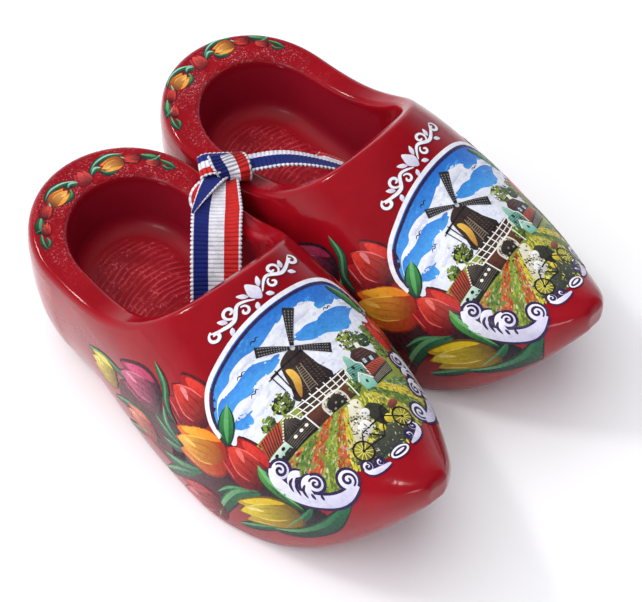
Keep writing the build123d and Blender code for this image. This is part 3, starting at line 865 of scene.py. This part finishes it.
def flourish(art):
    """A penned ornament over the panel, the same on both sides of a bud: no lettering."""
    art.place = leaning
    strokes = []
    drops = [along((0, -1.6), (0, 2.2), 2.2, [(0, 0), (-0.5, 0.4), (-0.32, 0.75), (0, 1), (0.32, 0.75),
        (0.5, 0.4)])]
    for side in (-1, 1):
        vine = [(side * x, y) for x, y in ((0.9, -0.9), (3.2, 0.7), (5.6, -0.6), (7.8, 0.3), (9, 1.5))]
        strokes.append((curve(vine), 0.7, 0.75))
        for x, y, radius, start, turns, width in (
                (8.9, 0.5, 1.15, 80, -1.1, 0.6),
                (4.9, 1, 1.25, -90, 1.1, 0.55),
                (3.3, -0.9, 0.95, 90, 1, 0.5)):
            strokes.append((spiral(side * x, y, radius, start, side * turns), width, 0.5))
        for (ax, ay), (bx, by) in (
                ((1.2, 0.2), (2.3, 1.9)), ((6.3, 0.1), (7, 1.7)), ((6.6, -1), (7.7, -2)),
                ((1, -1.5), (2, -2.6))):
            shape = [(0, 0), (-0.5, 0.45), (0, 1), (0.5, 0.45)]
            drops.append(along((side * ax, ay), (side * bx, by), 0.85, shape))
    for path, width, taper in strokes:
        art.stroke(path, width + 0.25, 1, "5a0a1c", taper, shift=(0.14, -0.16))
        art.stroke(path, width, 2, WHITE, taper)
    for shape in drops:
        drop = curve(shape, True, 4)
        art.fill(drop, 1, "5a0a1c", shift=(0.14, -0.16))
        art.fill(drop, 2, LILAC, WHITE)


def garland(art):
    """Half of the heel's garland, in plan: x across the heel, y towards its back."""
    for width, light, *points in (
            (1.3, LEAF_BLUE, (-1.6, 50.4), (-4.4, 52), (-7.6, 52), (-10.2, 50.2)),
            (1.6, LEAF_BLUE, (-1.4, 49.6), (-3.2, 50.8), (-4.4, 50)),
            (1.2, LEAF_PALE, (-4, 49.6), (-4.8, 48), (-7, 47.2)),
            (1.2, LEAF_BLUE, (-9.4, 49.8), (-10.2, 48.2), (-11.6, 46.2)),
            (1.9, LEAF_PALE, (-13, 47.4), (-14.6, 45.6), (-15.6, 44)),
            (1.3, LEAF_BLUE, (-13, 45.2), (-14.8, 44.4), (-16.4, 44.6)),
            (1, LEAF_PALE, (-15.6, 43.6), (-16.6, 41.4), (-16.8, 39.4)),
            (0.8, LEAF_PALE, (-15.2, 42.2), (-15.4, 40.8), (-16.6, 39.8))):
        leaf(art, points, width, light)
    tulip(art, (-9.3, 48.9), (-4.6, 49.9), 3.9, "8a3e10", "e88420", "f8b450", "ffe8b0")
    tulip(art, (-12.8, 46.8), (-9.8, 49.2), 2.5, *GARLAND_REDS)
    tulip(art, (-14.9, 42.8), (-13, 45.4), 1.9, *GARLAND_REDS)


# ---- both clogs ---------------------------------------------------------------------------------

def stay(u, v):
    return u, v


def shift_left(u, v):
    """The left clog's transfer went on a little lower and turned."""
    turn = radians(5.5)
    x, y = u + 1, v + 16.2
    return 0.5 + x * cos(turn) - y * sin(turn), -19.2 + x * sin(turn) + y * cos(turn)


def heel_right(x, y):
    return x - 0.3, 39 + (y - 39.6) * 0.87


def heel_left(x, y):
    return x - 0.6, 40.6 + (y - 39.6) * 0.9


def dress(side):
    """Put the printed pictures on one clog."""
    skin = Skin(side)
    move_toe, move_heel = (stay, heel_right) if side == "right" else (shift_left, heel_left)
    drawings = [(draw, same, draw.__name__)
                for draw in (sky_panel, land, houses, windmill, bicycle, border, flourish)]
    for draw in (tulips, scrolls):
        drawings += [(draw, same, f"{draw.__name__}_outer"), (draw, flip, f"{draw.__name__}_inner")]
    for draw, place, name in drawings:
        art = Picture(place)
        draw(art)
        art.lay(f"{side}_{name}", skin, skin.vamp, move_toe, f"{side}_toe_print")
    wreath = Picture(same)
    garland(wreath)
    wreath.place = across_heel
    garland(wreath)
    wreath.place = same
    tulip(wreath, (0, 48.4), (0, 52.6), 3.6, "6c0a16", "b01c26", "dc4a40", REDS[2])
    wreath.lay(f"{side}_garland", skin, skin.rim, move_heel, f"{side}_heel_print")


GOUGE = 1.25              # width of one cut of the gouge
STEPS = 6                 # the mesh's steps across a cut
CUTS = range(2, 33)       # the middle has no room for the first two
SPOKES = 140
BED_MIDDLE = (2, 6)       # the cuts run round this place, in plan
BED_WIDE = 10.8           # half of the footbed's width
BED_FRONT = -3
BED_BACK = (22.5, 19.3)   # from this y on it narrows, and it ends this much further back
SINK = 0.06               # the skin's edge lies this deep in the wood
RISE = 0.08               # away from its edge the skin is this much higher
RIDGE = 0.12              # from a cut's bottom to the ridge beside it


def footbed(side):
    """The gouge's cuts on the footbed, ring behind ring, as a thin skin just over the wood; the ridges' tops
    are painted pale pink as highlights.
    """
    skin = Skin(side)
    corners, tints_with_painted_light, numbers = [], [], {}
    for ring in range(CUTS.start * STEPS, CUTS.stop * STEPS):
        for spoke in range(SPOKES):
            angle, radius = 2 * pi * spoke / SPOKES, ring / STEPS * GOUGE
            around = Vector((cos(angle), sin(angle), 0))
            waver = 1.3 * noise.noise(around * 1.6 + Vector((0, 0, radius / 9)))
            waver += 0.45 * noise.noise(around * 6 + Vector((0, 0, radius / 2.5)))
            radius += waver * min(1.0, radius / 8)
            x, y = (BED_MIDDLE[axis] + radius * around[axis] for axis in (0, 1))
            place, normal, _, _ = skin.tree.ray_cast(skin.row(x, y, 15 + 0.2 * y), Vector((0, 0, -1)))
            if place is None or normal.z < 0.95 or y < BED_FRONT:
                continue
            ridge = (ring % STEPS * 2 / STEPS - 1) ** 2
            room = abs(x / BED_WIDE) ** 3 + max(0.0, (y - BED_BACK[0]) / BED_BACK[1]) ** 3
            flat = within(min((1.1 - room) / 0.5, (y - BED_FRONT) / 3))
            # wear lowers the ridges and also weakens their painted highlight
            wear_and_highlight = flat * (0.2 + 0.8 * within(0.5 + 2.2 * noise.noise(Vector((x / 4, y / 4, 3)))))
            numbers[ring, spoke] = len(corners)
            corners.append(place + Vector((0, 0, (RISE * flat - SINK + RIDGE * ridge * wear_and_highlight) * MM)))
            # painted highlight: the ridges turn pale pink where they stand high
            tints_with_painted_light.append(mixed("a01020", "d2424c", ridge ** 2 * wear_and_highlight))
    faces = []
    for ring, spoke in numbers:
        after = (spoke + 1) % SPOKES
        square = [(ring, spoke), (ring + 1, spoke), (ring + 1, after), (ring, after)]
        if all(corner in numbers for corner in square):
            faces.append([numbers[corner] for corner in square])
    made = inked_mesh(f"{side}_footbed", corners, faces, tints_with_painted_light, CARVED)
    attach(made, f"{side}_shoe")


PRINT = printed()
CARVED = carved_lacquer()
for side in ("right", "left"):
    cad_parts[f"{side}_clog"].material_slots[0].material = lacquer(side)
    dress(side)
    footbed(side)


# ---- the ribbon ---------------------------------------------------------------------------------

RIB = 0.9                 # one rib of the weave to the next, along the tape
RIB_STEPS = 8             # the mesh's steps along a rib
TAPE = 5                  # half of the tape's width
NAVY, SNOW, SCARLET = "0d1f78", "e6e4ee", "c8120e"
STRIPES = ((-5, SNOW), (-4.6, NAVY), (-3.6, NAVY), (-2.6, NAVY), (-1.6, SNOW), (-0.5, SNOW), (0.5, SNOW),
           (1.6, SCARLET), (2.6, SCARLET), (3.6, SCARLET), (4.6, SNOW), (5, None))
FLAP = ((-2.6, SNOW), (-2.2, NAVY), (-1.1, NAVY), (0, NAVY), (1.1, NAVY), (1.9, SNOW), (2.4, None))
UNDER = ((-2.2, SNOW), (-1.7, SCARLET), (-0.6, SCARLET), (0.5, SCARLET), (1.6, None))
RIGHT_TAIL = (-133, 1.8)  # a tail's way from the knot in degrees, and how far to its right it starts
LEFT_TAIL = (-32.6, 0)
KNOT_LOW, KNOT_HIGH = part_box("ribbon_knot")
KNOT = (KNOT_LOW + KNOT_HIGH) / 2 / MM


def heading(degrees):
    """The level direction at an angle, and the one to its left."""
    run = Vector((cos(radians(degrees)), sin(radians(degrees)), 0))
    return run, Vector((-run.y, run.x, 0))


KNOT_AXIS, KNOT_ASIDE = heading(-34)


def rounded(points, steps=24):
    """A smooth line that cuts inside the corners of a route."""
    result = [points[0]]
    for before, corner, after in zip(points, points[1:], points[2:]):
        start, end = (before + corner) / 2, (corner + after) / 2
        for step in range(steps):
            t = step / steps
            result.append(start * (1 - t) ** 2 + corner * 2 * t * (1 - t) + end * t ** 2)
    return result + [points[-1]]


def even(line, gap):
    """The same line with points an even distance apart, and its length."""
    lengths = [0.0]
    for a, b in zip(line, line[1:]):
        lengths.append(lengths[-1] + (b - a).length)
    count = int(lengths[-1] / gap)
    result, place = [], 0
    for step in range(count + 1):
        goal = lengths[-1] * step / count
        while place < len(line) - 2 and lengths[place + 1] < goal:
            place += 1
        share = (goal - lengths[place]) / max(lengths[place + 1] - lengths[place], 1e-9)
        result.append(line[place].lerp(line[place + 1], share))
    return result, lengths[-1]


def beat(place):
    """One on a rib of the weave, nothing between two."""
    return abs(cos(pi * place / RIB_STEPS))


def plain(across, share):
    return across, 0.0


def tape(name, route, side, profile, stripes=STRIPES, thick=0.45):
    """A length of ribbed tape along a route in millimetres; returns it and its length in metres."""
    spine, length = even(route, RIB / RIB_STEPS)
    corners, faces, tints_with_painted_light = [], [], []
    last, lanes = len(spine) - 1, len(stripes)
    for place, point in enumerate(spine):
        run = (spine[min(place + 1, last)] - spine[max(place - 1, 0)]).normalized()
        wide = (side - run * side.dot(run)).normalized()
        up = wide.cross(run)
        if up.z < 0 and name != "ribbon_wrap":
            up = -up
        for across, _ in stripes:
            selvedge = abs(across) >= TAPE
            picot = (beat(place) - 0.5) * 0.5 * copysign(1, across) if selvedge else 0.0
            x, z = profile(across + picot, place / last)
            swell = 0.24 * beat(place) ** 0.6 * (0.5 if selvedge else 1)
            corners.append((point + wide * x + up * (z + swell)) * MM)
    for place in range(last):
        for lane in range(lanes - 1):
            first = place * lanes + lane
            faces.append((first, first + 1, first + lanes + 1, first + lanes))
            # painted shade: the yarn is darkened in the grooves between the ribs
            tints_with_painted_light += [mixed("000000", stripes[lane][1], 0.38 + 0.62 * beat(place) ** 0.6)] * 4
    made = inked_mesh(name, corners, faces, tints_with_painted_light, YARN, "CORNER")
    body = made.modifiers.new("body", "SOLIDIFY")
    body.thickness = thick * MM
    body.offset = 0
    return made, length * MM


def tail(name, degrees, right, points, profile, drift=None, **kind):
    """A tape in an upright plane, from (distance from the knot, height); drift moves its points left."""
    run, left = heading(degrees)
    start = Vector((KNOT.x, KNOT.y, 0)) - left * right
    route = [start + run * distance + Vector((0, 0, height)) for distance, height in points]
    if drift:
        route = [point + left * shift for point, shift in zip(route, drift)]
    return tape(name, rounded(route), left, profile, **kind)


def hanging(across, share):
    """Gathered under the knot, then flat and slightly cupped."""
    spread = 0.66 + 0.34 * min(1.0, share / 0.22)
    cup = 0.035 * (1 - 0.5 * share)
    return across * spread + 0.5 * (1 - min(1.0, share / 0.25)), cup * across * across - 0.3


def folded(across, share):
    """Folded lengthwise: blue on top, the rest turned under, opening towards the end."""
    opening = within((share - 0.18) / 0.32)
    bend, tilt = radians(172 - 164 * opening), radians(18 * opening)
    radius, run, top = 0.42, across + TAPE, 4.3
    edge = top / 2
    if run < top:
        x, z = run - edge, 0.05 * (run - edge) ** 2 - 0.1
    else:
        turn = min((run - top) / radius, bend)
        rest = (0.74 - 0.4 * sin(pi * opening)) * max(0.0, run - top - bend * radius)
        x = edge + radius * sin(turn) + rest * cos(turn)
        z = 0.1 - radius * (1 - cos(turn)) - rest * sin(turn)
    return x * cos(tilt) + z * sin(tilt), z * cos(tilt) - x * sin(tilt)


def knot():
    """The band wrapped round the tails, and its folded end."""
    loop = []
    for step in range(73):
        x, z = cos(2 * pi * step / 72), sin(2 * pi * step / 72)
        aside, rise = copysign(3 * abs(x) ** 0.75, x), copysign(2.2 * abs(z) ** 0.8, z)
        loop.append(KNOT + KNOT_ASIDE * aside + KNOT_AXIS * (0.4 - 0.30 * aside) + Vector((0, 0, rise)))
    wrap, girth = tape("ribbon_wrap", loop, KNOT_AXIS, lambda across, share: (
        across * (0.72 - 0.05 * cos(4 * pi * share)), 0.12 * sin(6 * pi * share + across)))
    fold_points = [(1.5, 1.1), (-2, 1.3), (-4.2, 1.5), (-5.8, 0.8), (-5.2, -0.6), (-3, -1.1), (0, -1.2)]
    fold_route = [KNOT + KNOT_AXIS * x + KNOT_ASIDE * (0.4 + 0.05 * x) + Vector((0, 0, z))
                  for x, z in fold_points]
    fold, _ = tape("ribbon_fold", rounded(fold_route), -KNOT_ASIDE, lambda across, share: (
        across * (0.50 + 0.1 * sin(pi * share)), 0.0))
    return wrap, girth, fold


def ribbon():
    """The knotted ribbon: its knot, and a tail into each clog."""
    wrap, girth, fold = knot()
    right, right_length = tail("ribbon_right_tail_woven", *RIGHT_TAIL, [(1, 31.4), (4.4, 32.2), (10.5, 31.9),
        (16.5, 31.4), (22, 27.8), (26, 22), (30, 17.2), (35, 14), (40.5, 12.9)], hanging)
    flap, _ = tail("ribbon_flap", *RIGHT_TAIL, [(1.5, 32.6), (4.5, 33.3), (8, 33.1), (12.5, 32.4)],
                   lambda across, share: (across * (1.05 - 0.93 * share), 0.0), (0.2, -1.3, -3, -4.9),
                   stripes=FLAP, thick=0.4)
    under, _ = tail("ribbon_under", *RIGHT_TAIL, [(2.5, 31.6), (5.5, 31.9), (8.5, 31.5), (11.5, 31.2)],
                    plain, (-0.6, -3.2, -4, -1.6), stripes=UNDER, thick=0.4)
    left, left_length = tail("ribbon_left_tail_woven", *LEFT_TAIL, [(1.5, 32.6), (7.1, 33.4), (12.5, 33.4),
        (18, 31.6), (23.5, 28.8), (28.5, 25), (32, 20), (34.5, 14.5)], folded)
    for piece, node in ((wrap, "ribbon_knot"), (fold, "ribbon_knot"), (right, "ribbon_right_tail"),
                        (flap, "ribbon_right_tail"), (under, "ribbon_right_tail")):
        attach(piece, "right_shoe")
        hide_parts(node)
    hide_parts("ribbon_left_tail")
    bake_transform(left)


YARN = yarn()
ribbon()


# ---- floor and light ----------------------------------------------------------------------------

HALF_TABLE = 3.0          # metres
CEILING = ((-0.35, 0.25, 0.95), (0, 0, 0), (2.4, 2.4), 29.0, (1.0, 0.99, 0.98))
KEY = ((-0.30, 0.50, 0.75), (0, 0, 0.02), (0.16, 0.12), 2.0, (1.0, 0.99, 0.97))
WINDOW = ((-0.7, -0.35, 0.5), (0, 0, 0.02), (0.25, 0.2), 0.8, (0.95, 0.97, 1.0))
WALLS = ((0.12, (0.84, 0.91, 1.0, 1.0)), (0.62, (0.08, 0.08, 0.09, 1.0)))    # colours by height


def add_light(name, place, aim, size, power, tint):
    lamp = bpy.data.lights.new(name, "AREA")
    lamp.shape = "RECTANGLE"
    lamp.size, lamp.size_y = size
    lamp.energy = power
    lamp.color = tint
    made = new_object(name, lamp)
    made.location = place
    made.rotation_euler = (Vector(aim) - Vector(place)).to_track_quat("-Z", "Y").to_euler()
    return made


def surroundings():
    """Pale walls that darken upwards, as the lacquer reflects them."""
    world = bpy.data.worlds.new("studio")
    bpy.context.scene.world = world
    world.use_nodes = True
    tree = world.node_tree
    height = tree.nodes.new("ShaderNodeSeparateXYZ")
    tree.links.new(tree.nodes.new("ShaderNodeTexCoord").outputs["Generated"], height.inputs[0])
    walls = tree.nodes.new("ShaderNodeValToRGB")
    for element, (position, colour) in zip(walls.color_ramp.elements, WALLS):
        element.position = position
        element.color = colour
    tree.links.new(height.outputs["Z"], walls.inputs["Fac"])
    tree.links.new(walls.outputs["Color"], tree.nodes["Background"].inputs["Color"])


def studio():
    bpy.context.scene.view_settings.view_transform = "Standard"
    mesh = bpy.data.meshes.new("table_top")
    corners = [(HALF_TABLE * x, HALF_TABLE * y, 0) for x, y in ((-1, -1), (1, -1), (1, 1), (-1, 1))]
    mesh.from_pydata(corners, [], [(0, 1, 2, 3)])
    mesh.materials.append(table_top())
    floor = new_object("table_top", mesh)
    add_light("ceiling", *CEILING).visible_glossy = False
    add_light("key", *KEY)
    add_light("window", *WINDOW)
    surroundings()


studio()
